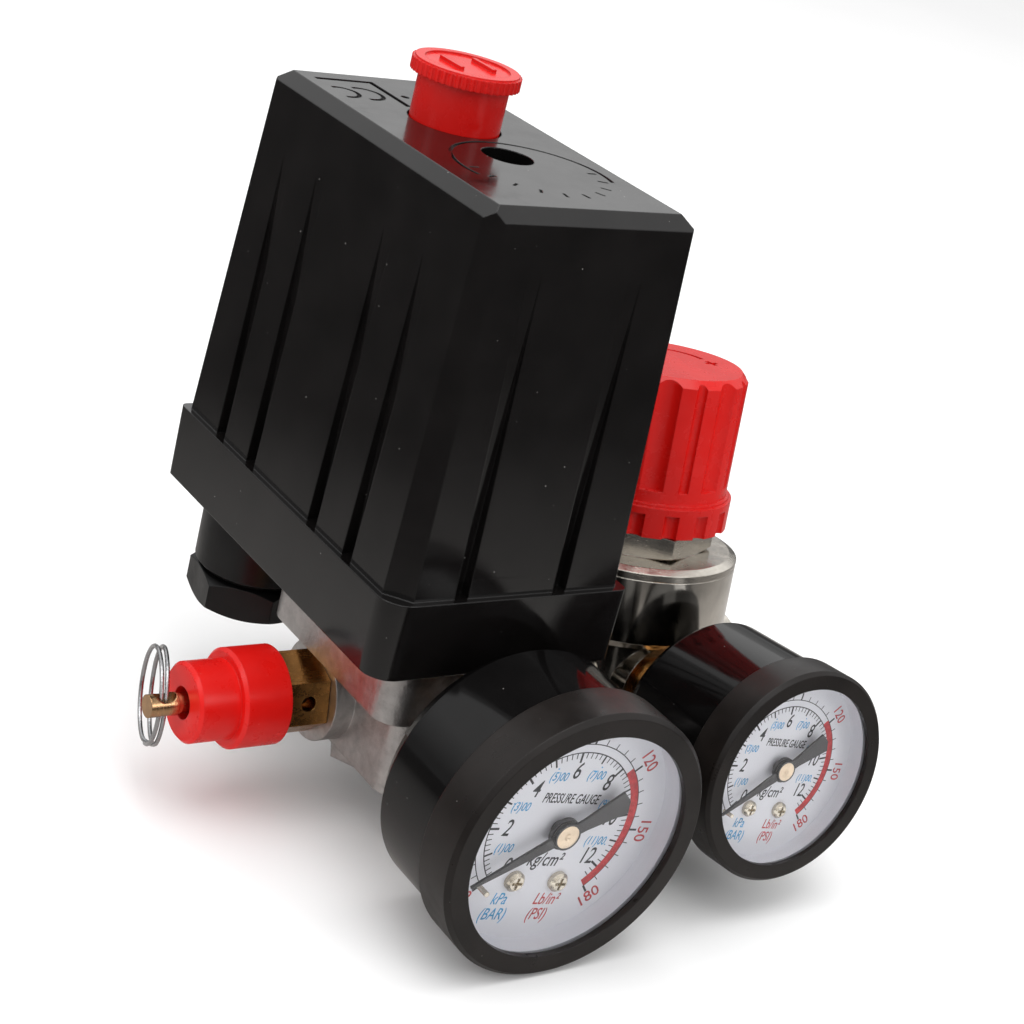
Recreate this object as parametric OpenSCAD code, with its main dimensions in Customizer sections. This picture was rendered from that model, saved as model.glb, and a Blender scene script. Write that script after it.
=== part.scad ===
// Air-compressor pressure switch: switch housing on a die-cast manifold with a relief valve,
// a tank gauge, a pressure regulator and an outlet gauge. Millimetres, +Z up.
// Origin: centre of the tank port's mouth. -Y front (gauge faces), +X regulator, -X relief valve.

/* [Cover] */
// Width of the cover across its short side at the ledge
cover_w = 48; // [47:0.5:49]
// Length of the cover at the ledge
cover_l = 79.7; // [79:0.1:81]
// Height from the ledge to the lower edge of the top chamfer
cover_h = 66.5; // [65:0.5:70]
// Height of the skirt below the ledge
skirt_h = 14.5; // [14:0.1:15]
// Wall thickness of the skirt
skirt_wall = 2.3; // [2.1:0.1:2.5]

/* [On-off knob] */
// Radius of the knob's neck
knob_neck_r = 8.24; // [7.8:0.02:8.5]
// Radius of the knob's cap
knob_cap_r = 9.9; // [9.5:0.1:11]
// Downward travel from on to off
knob_travel = 6; // [4:0.5:6]

/* [Manifold] */
// Height of the cross ports above the tank port's mouth
port_z = 13; // [12.5:0.1:13.5]
// Minor radius of the G1/4 ports' thread
port_r = 5.72; // [5.6:0.02:5.9]
// Height of the front gauge port
gauge_port_z = 17.5; // [17:0.1:18]

/* [Relief valve] */
// Width across flats of the brass body
valve_af = 14; // [13:0.5:15]
// Radius of the cap's wide end
valve_cap_r = 9.2; // [9:0.1:10]
// Outside diameter of the pull ring
ring_d = 18.5; // [18:0.5:22]
// Stroke of the valve stem when pulled
valve_stroke = 3; // [2:0.5:3]

/* [Gauges] */
// Outside diameter of the tank gauge's bezel
gauge1_od = 52; // [50:0.5:53]
// Outside diameter of the outlet gauge's bezel
gauge2_od = 42; // [40:0.5:43]
// Depth of the gauge case behind the bezel front, for a 52 mm gauge
gauge_depth = 27; // [26:0.5:28]

/* [Regulator] */
// Distance of the regulator's axis from the tank port
reg_x = 53.4; // [52:0.1:55]
// Backward lean of the regulator about its port axis, in degrees
reg_lean = 7.5; // [5:0.5:8]
// Radius of the regulator's round body
reg_r = 21.1; // [20:0.1:22]
// Radius of the adjusting knob
reg_knob_r = 16.2; // [15:0.1:16.6]
// Upward travel that unlocks the adjusting knob
reg_lift = 4; // [2:0.5:4]

/* [Hidden] */
cover_y = 15;                    // centre of the cover along its length
ledge_z = 47;                    // height of the skirt's ledge
skirt_z = ledge_z - skirt_h;     // underside of the base
top_z = ledge_z + cover_h + 2.3; // top of the cover
draft_w = 2.94;                  // inward draft of each long wall over cover_h
draft_l = 2.7;                   // inward draft of each end wall over cover_h
port_y = 3.5;                    // line of the cross ports
mech_y = -2;                     // centre line of diaphragm and main spring
hole_y = 6.2;                    // cover screw
knob_y = 23.8;                   // on-off knob
gland_y = 38;
gland_x = 12.5;
flange_z = 22.3;                 // underside of the manifold's flange
gauge1_y = -59.3;                // bezel front of the tank gauge
gauge2_y = -57.4;                // bezel front of the outlet gauge, in the regulator's frame
k2 = gauge2_od / 52;
k1 = gauge1_od / 52;
depth1 = 27 * k1;
depth2 = 29.5;                   // the small gauge's case is deep for its width
dial_turn = 10;                  // the gauges stop a little past upright when they are screwed home
ring_x = -46.9;                  // cross hole for the pull ring
hex_turn = -11.5;                // how the relief valve's hexagon stops when it is screwed home
pin_y = 14;
pin_z = 46;
$fn = 64;

black = [0.06, 0.06, 0.065];
red = [0.82, 0.06, 0.05];
steel = [0.72, 0.73, 0.74];
brass = [0.78, 0.6, 0.3];

// ---- shapes used more than once ----
module rrect(x, y, r) {
    union() {
        square([x - 2 * r, y], center = true);
        square([x, y - 2 * r], center = true);
        for (sx = [-1, 1], sy = [-1, 1])
            translate([sx * (x / 2 - r), sy * (y / 2 - r)])
                circle(r = r);
    }
}

module cyl_x(r, x0, x1) {
    translate([x0, 0, 0])
        rotate([0, 90, 0])
            cylinder(r = r, h = x1 - x0);
}

module hex_z(af, h) {
    cylinder(r = af / sqrt(3), h = h, $fn = 6);
}

// hexagon along Z whose ends are turned down to a chamfer
module nut_z(af, h, c) {
    intersection() {
        hex_z(af, h);
        union() {
            translate([0, 0, c])
                cylinder(r = af * 0.62, h = h - 2 * c);
            cylinder(r1 = af / 2, r2 = af / sqrt(3), h = c);
            translate([0, 0, h - c])
                cylinder(r1 = af / sqrt(3), r2 = af / 2, h = c);
        }
    }
}

// round wire along a path: one ring of points per step, each ring in the plane of n and b
function ring_pts(p, n, b, r, m) =
    [for (j = [0 : m - 1]) p + r * cos(j * 360 / m) * n + r * sin(j * 360 / m) * b];

module wire(rings, m) {
    k = len(rings) / m;
    polyhedron(
        points = rings,
        faces = concat(
            [[for (j = [0 : m - 1]) j]],
            [for (i = [0 : k - 2], j = [0 : m - 1])
                [i * m + j, (i + 1) * m + j, (i + 1) * m + (j + 1) % m]],
            [for (i = [0 : k - 2], j = [0 : m - 1])
                [i * m + j, (i + 1) * m + (j + 1) % m, i * m + (j + 1) % m]],
            [[for (j = [m - 1 : -1 : 0]) (k - 1) * m + j]]));
}

// height of a closed-end coil at step t of 0..1: the end turns lie flat
function coil_z(t, turns, h, w) =
    let (u = t * turns)
    u < 1 ? w / 2 + u * w * 1.05
    : u > turns - 1 ? h - w / 2 - (turns - u) * w * 1.05
    : w * 1.55 + (u - 1) / (turns - 2) * (h - w * 3.1);

// coil spring standing on z = 0
module coil(r, w, h, turns) {
    steps = turns * 20;
    wire([for (i = [0 : steps])
        let (t = i / steps, a = t * turns * 360)
        each ring_pts([r * cos(a), r * sin(a), coil_z(t, turns, h, w)],
            [cos(a), sin(a), 0], [0, 0, 1], w / 2, 8)], 8);
}

module pan_screw(head_r, head_h, shank_r, shank_l) {
    difference() {
        union() {
            translate([0, 0, -shank_l])
                cylinder(r = shank_r, h = shank_l);
            cylinder(r = head_r, h = head_h * 0.55);
            translate([0, 0, head_h * 0.55])
                cylinder(r1 = head_r, r2 = head_r * 0.72, h = head_h * 0.45);
        }
        translate([0, 0, head_h * 0.9])
            cube([head_r * 1.2, head_r * 0.28, head_h], center = true);
        translate([0, 0, head_h * 0.9])
            cube([head_r * 0.28, head_r * 1.2, head_h], center = true);
    }
}

// ---- switch housing ----
// drafted block: two trapezium prisms and four leaning corner cuts
module drafted(w0, w1, l0, l1, h, ch, corner0, corner1) {
    difference() {
        intersection() {
            translate([0, 60, 0])
                rotate([90, 0, 0])
                    linear_extrude(height = 120)
                        polygon([[-w0, 0], [w0, 0], [w1, h], [w1 - ch, h + ch], [ch - w1, h + ch], [-w1, h]]);
            translate([-60, 0, 0])
                rotate([90, 0, 90])
                    linear_extrude(height = 120)
                        polygon([[-l0, 0], [l0, 0], [l1, h], [l1 - ch, h + ch], [ch - l1, h + ch], [-l1, h]]);
        }
        // the corner over the relief valve is cut back most
        for (sx = [-1, 1], sy = [-1, 1])
            let (f = sx + sy < 0 ? 1 : 0.3,
                s0 = (w0 + l0 - corner0 * f) / sqrt(2),
                s1 = (w1 + l1 - corner1 * f) / sqrt(2))
            rotate([0, 0, atan2(sy, sx)])
                translate([s0, 0, 0])
                    rotate([0, -atan((s0 - s1) / h), 0])
                        translate([0, -30, -10])
                            cube([30, 60, h + 30]);
    }
}

module cover() {
    wi = cover_w / 2;
    li = cover_l / 2;
    color(black)
    translate([0, cover_y, 0])
    difference() {
        union() {
            translate([0, 0, ledge_z])
                drafted(wi, wi - draft_w, li, li - draft_l, cover_h, 2.3, 3.95, 2.63);
            translate([0, 0, skirt_z])
                linear_extrude(height = skirt_h)
                    difference() {
                        rrect(cover_w + 2.4, cover_l + 2.4, 1.4);
                        translate([-cover_w / 2 - 1.2, -cover_l / 2 - 1.2])
                            difference() {
                                translate([-1, -1])
                                    square(6);
                                translate([5, 5])
                                    circle(r = 5);
                            }
                    }
        }
        difference() {
            translate([0, 0, skirt_z + 4.3])
                drafted(20, 19.2, 35.9, 35.2, top_z - 3.8 - skirt_z - 5.3, 1, 3, 3);
            translate([0, hole_y - cover_y, 90.2])
                cylinder(r = 3.9, h = 12);
            translate([0, hole_y - cover_y, 101])
                cylinder(r = 6.5, h = 30);
        }
        translate([0, 0, skirt_z - 1])
            linear_extrude(height = 5.4)
                rrect(cover_w + 2.4 - 2 * skirt_wall, cover_l + 2.4 - 2 * skirt_wall, 3);
        // vertical grooves with undrafted floors
        for (sx = [-1, 1], gy = [26, 13.7, -10.4, -23.2])
            translate([sx * (21.55 + 5), gy, ledge_z + 35])
                cube([10, 3.2, 70], center = true);
        for (sy = [-1, 1], gx = [-10.4, 10.4])
            translate([gx, sy * (37.5 + 5), ledge_z + 35])
                cube([2.8, 10, 70], center = true);
        translate([0, knob_y - cover_y, top_z - 10])
            cylinder(r = knob_neck_r + 0.35, h = 20);
        translate([0, hole_y - cover_y, 104])
            cylinder(r = 4.67, h = 20);
        translate([0, hole_y - cover_y, 80])
            cylinder(r = 2.2, h = 30);
        // engraved ring and corner mark on the top
        translate([0.8, -1 - cover_y, top_z - 0.5])
            difference() {
                cylinder(r = 14.9, h = 2);
                translate([0, 0, -1])
                    cylinder(r = 14.2, h = 4);
                translate([-20, -20, -1])
                    cube([40, 16, 4]);
            }
        for (a = [0 : 20 : 180])
            translate([0.8, -1 - cover_y, top_z - 0.4])
                rotate([0, 0, -a])
                    translate([11.6, 0, 0])
                        cube([1.8, 0.5, 2], center = false);
        translate([-16.4, 45.2 - cover_y, top_z - 0.6])
            cube([12.2, 1.1, 2]);
        translate([-5.3, 31.8 - cover_y, top_z - 0.6])
            cube([1.1, 14.5, 2]);
        for (c = [[-15, 2.9], [-10.5, 3.4]])
            translate([c[0], 37.9 - cover_y, top_z - 0.5])
                difference() {
                    cylinder(r = c[1] + 0.4, h = 2);
                    translate([0, 0, -1])
                        cylinder(r = c[1] - 0.4, h = 4);
                    translate([-10.8, -5, -2])
                        cube([10, 10, 6]);
                }
        translate([-1.9, 38 - cover_y, top_z - 0.5])
            cylinder(r = 0.8, h = 2);
    }
}

module cover_screw() {
    color(steel)
    translate([0, hole_y, 104])
        pan_screw(3.9, 2.8, 2, 19.4);
}

module on_off_knob() {
    color(red)
    translate([0, knob_y, 0])
    difference() {
        union() {
            translate([0, 0, 104])
                cylinder(r = knob_neck_r, h = 20.2);
            translate([0, 0, 110])
                cylinder(r = knob_neck_r + 1.3, h = 1.5);
            difference() {
                translate([0, 0, 124])
                    cylinder(r = knob_cap_r, h = 2.2);
                for (i = [0 : 47])
                    rotate([0, 0, i * 7.5])
                        translate([knob_cap_r + 0.12, 0, 123])
                            cylinder(r = 0.42, h = 4, $fn = 16);
            }
            translate([0, 0, 126.2])
                difference() {
                    cylinder(r = knob_cap_r - 0.5, h = 0.35);
                    translate([0, 0, -1])
                        cylinder(r = knob_cap_r - 2.2, h = 3);
                }
            // raised marks: a bar and a ring half each side
            for (sx = [-1, 1])
                translate([sx * 3.4, 0, 126.5])
                    cube([0.8, 7, 0.7], center = true);
            // pusher down to the lever
            translate([0, 0, pin_z + 1 + knob_travel + 0.4])
                cylinder(r = 2.6, h = 60);
        }
        translate([0, 0, 103])
            difference() {
                cylinder(r = knob_neck_r - 1.8, h = 19);
                translate([0, 0, -1])
                    cylinder(r = 2.6, h = 21);
            }
    }
}

module gland_neck(sx) {
    translate([sx * gland_x, gland_y, 0]) {
        translate([0, 0, 21.5])
            cylinder(r = 11.9, h = skirt_z - 21.4);
        translate([0, 0, 20.5])
            cylinder(r1 = 10.9, r2 = 11.9, h = 1.0);
        translate([0, 0, 15])
            cylinder(r = 9.2, h = 6);
        // thread crests between the nut and the shoulder
        for (z = [19.85, 20.15])
            translate([0, 0, z])
                cylinder(r = 9.6, h = 0.15);
    }
}

module base_plate() {
    color(black)
    difference() {
        union() {
            translate([0, cover_y, skirt_z])
                linear_extrude(height = 4)
                    rrect(cover_w - 2.8, cover_l - 2.8, 3);
            gland_neck(-1);
            gland_neck(1);
        }
        for (sx = [-1, 1])
            translate([sx * gland_x, gland_y, 10])
                cylinder(r = 7, h = 30);
        // seat for the diaphragm and guide for the piston
        translate([0, mech_y, skirt_z - 1])
            cylinder(r = 15, h = 2.2);
        translate([0, mech_y, skirt_z - 1])
            cylinder(r = 11.3, h = 6);
        for (sx = [-1, 1], sy = [-1, 1])
            translate([sx * 15.8, mech_y - 1.2 + sy * 14, skirt_z - 1])
                cylinder(r = 2.1, h = 8);
        // earth screws
        for (sx = [-1, 1])
            translate([sx * 8, 22, skirt_z + 0.4])
                cylinder(r = 1.52, h = 5);
    }
}

module gland_nuts() {
    color(black)
    for (sx = [-1, 1])
        translate([sx * gland_x, gland_y, 13.3])
            difference() {
                rotate([0, 0, 20.6])
                    nut_z(22, 6.5, 0.9);
                translate([0, 0, 1.6])
                    cylinder(r = 9.2, h = 6);
                translate([0, 0, -1])
                    cylinder(r = 6.6, h = 4);
            }
}

module gland_seals() {
    color([0.08, 0.08, 0.08])
    for (sx = [-1, 1])
        translate([sx * gland_x, gland_y, 15])
            difference() {
                cylinder(r = 6.9, h = 8);
                translate([0, 0, -1])
                    cylinder(r = 4, h = 10);
            }
}

module base_screws() {
    color(steel)
    for (sx = [-1, 1], sy = [-1, 1])
        translate([sx * 15.8, mech_y - 1.2 + sy * 14, skirt_z + 4])
            pan_screw(3.2, 2, 2, 11);
}

// ---- pressure side ----
module manifold() {
    color([0.74, 0.74, 0.73])
    difference() {
        union() {
            // flange under the base
            translate([0, -3.2, flange_z])
                linear_extrude(height = skirt_z - flange_z)
                    rrect(40, 44, 5);
            // body
            translate([0, -3.2, 4])
                linear_extrude(height = 20)
                    rrect(26, 35, 4);
            translate([-13, -14, 6])
                cube([26, 22, 18]);
            // port bosses
            translate([0, port_y, port_z])
                cyl_x(9.5, -17, 17);
            translate([0, -27, gauge_port_z])
                rotate([-90, 0, 0])
                    cylinder(r = 9.8, h = 20);
            translate([-8, -18, 9])
                cube([16, 12, 14]);
            // tank port
            hex_z(20, 6);
            // ribs from bosses to flange
            for (sx = [-1, 1])
                translate([sx * 15 - 1.5, port_y - 1.5, port_z])
                    cube([3, 3, 10]);
        }
        // ports
        translate([0, 0, -1])
            cylinder(r = port_r, h = 9);
        translate([0, 0, 7])
            cylinder(r = 2.5, h = 8);
        translate([0, port_y, port_z])
            cyl_x(port_r, -18, -8);
        translate([0, port_y, port_z])
            cyl_x(port_r, 8, 18);
        translate([0, port_y, port_z])
            cyl_x(2.5, -9, 9);
        translate([0, -28, gauge_port_z])
            rotate([-90, 0, 0])
                cylinder(r = port_r, h = 10);
        translate([0, -19, gauge_port_z])
            rotate([-90, 0, 0])
                cylinder(r = 2, h = 18);
        translate([0, mech_y, port_z])
            cylinder(r = 2, h = 20);
        // diaphragm chamber
        translate([0, mech_y, skirt_z - 2])
            cylinder(r = 12, h = 3);
        for (sx = [-1, 1], sy = [-1, 1])
            translate([sx * 15.8, mech_y - 1.2 + sy * 14, skirt_z - 8.2])
                cylinder(r = 2, h = 10);
    }
}

module diaphragm() {
    color([0.12, 0.1, 0.09])
    translate([0, mech_y, skirt_z])
        cylinder(r = 14.8, h = 1.2);
}

module pressure_piston() {
    color(steel)
    translate([0, mech_y, 0]) {
        translate([0, 0, skirt_z + 1.2])
            cylinder(r = 11, h = 3.4);
        translate([0, 0, skirt_z + 4.5])
            cylinder(r = 4, h = pin_z - 1 - 0.05 - skirt_z - 4.5);
    }
}

module frame_bracket() {
    color(steel)
    difference() {
        union() {
            for (sx = [-1, 1])
                translate([sx * 14.5 - 0.75, -11, skirt_z + 4])
                    cube([1.5, 22.5, 90 - skirt_z - 4]);
            for (sx = [-1, 1])
                translate([sx * 14.5 - 0.75, -11, skirt_z + 4])
                    cube([1.5, 29, 14]);
            translate([-15.25, -11, 88])
                cube([30.5, 22.5, 2]);
            // feet
            for (sx = [-1, 1])
                translate([sx * 14.5 - (sx > 0 ? 0.75 : 2.25), -11, skirt_z + 4])
                    cube([3, 29, 1.4]);
        }
        translate([0, pin_y, pin_z])
            cyl_x(1.5, -20, 20);
        translate([0, mech_y, 80])
            cylinder(r = 3, h = 20);
        translate([0, hole_y, 80])
            cylinder(r = 2, h = 20);
        for (sx = [-1, 1], sy = [-1, 1])
            translate([sx * 15.8, mech_y - 1.2 + sy * 14, skirt_z + 3])
                cylinder(r = 3.4, h = 8);
    }
}

module lever() {
    color(steel)
    difference() {
        union() {
            translate([-8, -11, pin_z - 1])
                cube([16, 42, 2]);
            translate([0, pin_y, pin_z])
                cyl_x(3, -10, 10);
            // insulating post that carries the moving contact
            translate([-3.5, 28.4, pin_z + 0.9])
                cube([7, 5.2, 8.8]);
        }
        translate([0, pin_y, pin_z])
            cyl_x(1.55, -20, 20);
    }
}

module lever_pin() {
    color(steel)
    translate([0, pin_y, pin_z])
        cyl_x(1.5, -16.6, 16.6);
}

module main_spring() {
    color([0.55, 0.56, 0.58])
    translate([0, mech_y, pin_z + 1])
        coil(6.6, 1.9, 33, 7);
}

module spring_cup() {
    color(steel)
    translate([0, mech_y, pin_z + 34])
        difference() {
            cylinder(r = 8.2, h = 3);
            translate([0, 0, -1])
                cylinder(r = 3.05, h = 2.4);
        }
}

module adjust_bolt() {
    color(steel)
    translate([0, mech_y, 0]) {
        translate([0, 0, pin_z + 37])
            cylinder(r = 3, h = 13);
        translate([0, 0, 96])
            nut_z(7.6, 4, 0.5);
    }
}

module contact_block() {
    color([0.25, 0.12, 0.08])
    difference() {
        union() {
            translate([-18, 26, skirt_z + 4])
                cube([36, 20, 3]);
            for (sx = [-1, 1]) {
                translate([sx * 13.25 - 4.75, 26, skirt_z + 4])
                    cube([9.5, 20, 13.5]);
                translate([sx * 15.75 - 2.25, 26, skirt_z + 4])
                    cube([4.5, 20, 21.5]);
            }
        }
        // cable entries over the glands
        for (sx = [-1, 1])
            translate([sx * gland_x, gland_y, skirt_z])
                cylinder(r = 3.6, h = 16);
    }
}

module fixed_contacts() {
    color([0.75, 0.42, 0.25])
    difference() {
        for (sx = [-1, 1]) {
            translate([sx * 12 - 6, 28.5, skirt_z + 25.5])
                cube([12, 5, 1.2]);
            translate([sx * 9, 31, skirt_z + 24.5])
                cylinder(r = 1.8, h = 1.1);
            translate([sx * 15.75 - 2.25, 37.5, skirt_z + 25.5])
                cube([4.5, 7, 1.2]);
        }
        for (sx = [-1, 1], y = [31, 41])
            translate([sx * 15.9, y, skirt_z + 25])
                cylinder(r = 1.23, h = 3);
    }
}

module moving_contact() {
    color([0.75, 0.42, 0.25])
    translate([-11.5, 28.6, skirt_z + 23.2])
        cube([23, 4.8, 1.2]);
}

module terminal_screws() {
    color(steel)
    for (sx = [-1, 1], y = [31, 41])
        translate([sx * 15.9, y, skirt_z + 26.7])
            pan_screw(2, 1.8, 1.2, 1.2);
}

module earth_screws() {
    color([0.2, 0.6, 0.25])
    for (sx = [-1, 1])
        translate([sx * 8, 22, skirt_z + 4])
            pan_screw(2.6, 2, 1.5, 3.4);
}

// ---- relief valve, drawn along -X from the port ----
module valve_body() {
    color(brass)
    translate([0, port_y, port_z])
    difference() {
        union() {
            translate([-25.8, 0, 0])
                rotate([0, 90, 0])
                    rotate([0, 0, hex_turn])
                        hex_z(valve_af, 8.7);
            cyl_x(port_r - 0.02, -17.2, -9.5);
            cyl_x(5.2, -38, -25.7);
        }
        cyl_x(1.6, -18, -5);
        cyl_x(3.6, -37, -17.9);
        cyl_x(1.3, -40, -35);
        // vent hole through one flat
        translate([-21.3, 0, 0])
            rotate([hex_turn, 0, 0])
                rotate([90, 0, 0])
                    cylinder(r = 1.5, h = 12);
    }
}

module valve_cap() {
    color(red)
    translate([0, port_y, port_z])
    difference() {
        union() {
            cyl_x(valve_cap_r, -34.6, -25.9);
            translate([-35.2, 0, 0])
                rotate([0, 90, 0])
                    cylinder(r1 = valve_cap_r - 0.6, r2 = valve_cap_r, h = 0.6);
            cyl_x(7.4, -42.6, -35);
            translate([-43.2, 0, 0])
                rotate([0, 90, 0])
                    cylinder(r1 = 6.8, r2 = 7.4, h = 0.6);
        }
        cyl_x(5.25, -38.2, -20);
        cyl_x(3, -45, -38);
    }
}

module valve_poppet() {
    color([0.15, 0.15, 0.15])
    translate([0, port_y, port_z])
        cyl_x(3, -20.4, -18);
}

module valve_spring() {
    color([0.6, 0.6, 0.62])
    translate([-36.9, port_y, port_z])
        rotate([0, 90, 0])
            coil(2.6, 0.8, 14.2, 8);
}

module valve_stem() {
    color(brass)
    translate([0, port_y, port_z])
    difference() {
        union() {
            cyl_x(1.2, -45, -22);
            cyl_x(3, -22.4, -20.5);
            cyl_x(1.9, -45, -40);
            cyl_x(2.1, -50, -44.6);
        }
        // cross slot for the ring
        hull()
            for (dx = [-0.5, 0.5])
                translate([ring_x + dx, 0, -5])
                    cylinder(r = 1.6, h = 10);
    }
}

// split ring: one wire wound twice, its two turns spread where they leave the stem
function ring_w(t, rr) =
    let (side = t < 0.96 ? -1 : t > 1.04 ? 1 : (t - 1) / 0.04)
    side * (0.45 + rr * (1 - cos(t * 360 + 90)) * tan(1.6));

module pull_ring() {
    rr = ring_d / 2 - 0.42;
    color(steel)
    translate([ring_x, port_y, port_z])
        rotate([0, 20, 72])
            wire([for (i = [0 : 112])
                let (t = i / 56, a = t * 360 + 90)
                each ring_pts([rr - rr * cos(a), ring_w(t, rr), -rr * sin(a)],
                    [-cos(a), 0, -sin(a)], [0, -1, 0], 0.42, 8)], 8);
}

// ---- gauge: drawn for a 52 mm bezel with its front at y = 0, facing -Y ----
module face_y(y0, y1, r) {
    translate([0, y0, 0])
        rotate([-90, 0, 0])
            cylinder(r = r, h = y1 - y0);
}

module g_case(k, depth) {
    difference() {
        union() {
            face_y(7.5 * k, depth - 2.95 * k, 24.6 * k);
            translate([0, depth - 3 * k, 0])
                rotate([-90, 0, 0])
                    cylinder(r1 = 24.6 * k, r2 = 22.4 * k, h = 3 * k);
        }
        face_y(6 * k, depth - 2 * k, 23.4 * k);
        face_y(depth - 6 * k, depth + 4 * k, 6.4);
    }
}

module g_bezel(k) {
    difference() {
        union() {
            translate([0, 0, 0])
                rotate([-90, 0, 0])
                    cylinder(r1 = 25.2 * k, r2 = 26 * k, h = 0.9 * k);
            face_y(0.9 * k, 9 * k, 26 * k);
        }
        face_y(-1, 3 * k, 21.83 * k);
        face_y(1.2 * k, 7.5 * k, 24.2 * k);
        face_y(7 * k, 10 * k, 24.6 * k);
    }
}

module g_lens(k) {
    face_y(1.3 * k, 2.9 * k, 24.1 * k);
}

module g_dial(k) {
    difference() {
        union() {
            face_y(7 * k, 7.8 * k, 23.3 * k);
            difference() {
                face_y(3 * k, 7.8 * k, 23.3 * k);
                face_y(2 * k, 9 * k, 22.4 * k);
            }
        }
        face_y(6 * k, 9 * k, 1.6 * k);
        dial_screw_places(k)
            face_y(6 * k, 9 * k, 0.9 * k);
    }
}

module dial_screw_places(k) {
    rotate([0, dial_turn, 0])
        for (sx = [-1, 1])
            translate([sx * 4.9 * k, 0, -10.6 * k])
                children();
}

module g_dial_screws(k) {
    dial_screw_places(k)
        translate([0, 7 * k, 0])
            rotate([90, 0, 0])
                pan_screw(1.9 * k, 1.3 * k, 0.9 * k, 3 * k);
    // stop pin
    rotate([0, dial_turn, 0])
        translate([-12.1 * k, 0, -11.7 * k])
            face_y(4.2 * k, 7 * k, 0.5 * k);
}

// pointer at rest, tip to the lower left
module g_pointer(k, angle) {
    translate([0, 4.9 * k, 0])
        rotate([90, 0, 0])
            linear_extrude(height = 0.5 * k)
                rotate([0, 0, angle])
                    polygon([[19 * k, 0.25 * k], [19 * k, -0.25 * k], [3 * k, -1.1 * k], [-4 * k, -1.2 * k],
                        [-12.4 * k, -2.4 * k], [-13.2 * k, 0], [-12.4 * k, 2.4 * k], [-4 * k, 1.2 * k], [3 * k, 1.1 * k]]);
    face_y(4.8 * k, 5.6 * k, 3 * k);
    difference() {
        face_y(4 * k, 4.9 * k, 2.6 * k);
        face_y(3 * k, 4.3 * k, 0.7 * k);
    }
    face_y(5.5 * k, 15 * k, 1.2 * k);
}

// threaded shank, square wrench block and the plate that carries the movement
module g_socket(k, len, depth) {
    difference() {
        union() {
            face_y(19 * k, depth + len - 8.5, 5);
            translate([-5.5, depth + 0.1, -5.5])
                cube([11, len - 11, 11]);
            face_y(depth + len - 9, depth + len, port_r - 0.02);
            translate([-6 * k, 17 * k, -12 * k])
                cube([12 * k, 2.2 * k, 20 * k]);
            dial_screw_places(k)
                face_y(7.8 * k, 18 * k, 1.8 * k);
        }
        face_y(21 * k, depth + len + 1, 1.3);
        face_y(10 * k, 18 * k, 1.3 * k);
        dial_screw_places(k)
            face_y(7 * k, 12 * k, 0.9 * k);
    }
}

// C-shaped Bourdon tube
module g_tube(k) {
    translate([0, 21.6 * k, 0])
        rotate([90, 0, 0])
            rotate([0, 0, -100])
                rotate_extrude(angle = 250, $fn = 64)
                    translate([15 * k, 0])
                        scale([1, 1])
                            circle(r = 1.5 * k, $fn = 24);
    translate([0, 21.6 * k, 0])
        rotate([0, 100, 0])
            translate([5.03, -1.4 * k, -1.4 * k])
                cube([15 * k - 4.93, 2.8 * k, 2.8 * k]);
}

module at_gauge1() {
    translate([0, gauge1_y, gauge_port_z])
        children();
}

// regulator's own frame: origin where its axis meets its port axis
module at_reg() {
    translate([reg_x, port_y, port_z])
        rotate([-reg_lean, 0, 0])
            children();
}

module at_gauge2() {
    at_reg()
        translate([0, gauge2_y, 0])
            children();
}

g1_len = -27 + 9 - gauge1_y - depth1;  // socket length so that its thread fills the front port
g2_len = -16 + 8 - gauge2_y - depth2;

module gauge1_case() {
    color(black)
    at_gauge1()
        g_case(k1, depth1);
}

module gauge1_bezel() {
    color([0.1, 0.09, 0.085])
    at_gauge1()
        g_bezel(k1);
}

module gauge1_lens() {
    color([0.9, 0.95, 1, 0.3])
    at_gauge1()
        g_lens(k1);
}

module gauge1_dial() {
    color([0.93, 0.93, 0.95])
    at_gauge1()
        g_dial(k1);
}

module gauge1_dial_screws() {
    color(steel)
    at_gauge1()
        g_dial_screws(k1);
}

module gauge1_pointer() {
    color([0.2, 0.2, 0.21])
    at_gauge1()
        g_pointer(k1, 204);
}

module gauge1_socket() {
    color(brass)
    at_gauge1()
        g_socket(k1, g1_len, depth1);
}

module gauge1_tube() {
    color(brass)
    at_gauge1()
        g_tube(k1);
}

module gauge2_case() {
    color(black)
    at_gauge2()
        g_case(k2, depth2);
}

module gauge2_bezel() {
    color([0.1, 0.09, 0.085])
    at_gauge2()
        g_bezel(k2);
}

module gauge2_lens() {
    color([0.9, 0.95, 1, 0.3])
    at_gauge2()
        g_lens(k2);
}

module gauge2_dial() {
    color([0.93, 0.93, 0.95])
    at_gauge2()
        g_dial(k2);
}

module gauge2_dial_screws() {
    color(steel)
    at_gauge2()
        g_dial_screws(k2);
}

module gauge2_pointer() {
    color([0.2, 0.2, 0.21])
    at_gauge2()
        g_pointer(k2, 208);
}

module gauge2_socket() {
    color(brass)
    at_gauge2()
        g_socket(k2, g2_len, depth2);
}

module gauge2_tube() {
    color(brass)
    at_gauge2()
        g_tube(k2);
}

// ---- regulator ----
module hex_nipple() {
    color(steel)
    translate([0, port_y, port_z])
    difference() {
        union() {
            cyl_x(port_r - 0.02, 9, 42.3);
            translate([17, 0, 0])
                rotate([0, 90, 0])
                    nut_z(17, 14.6, 0.8);
        }
        cyl_x(2.6, 8, 46);
    }
}

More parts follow.
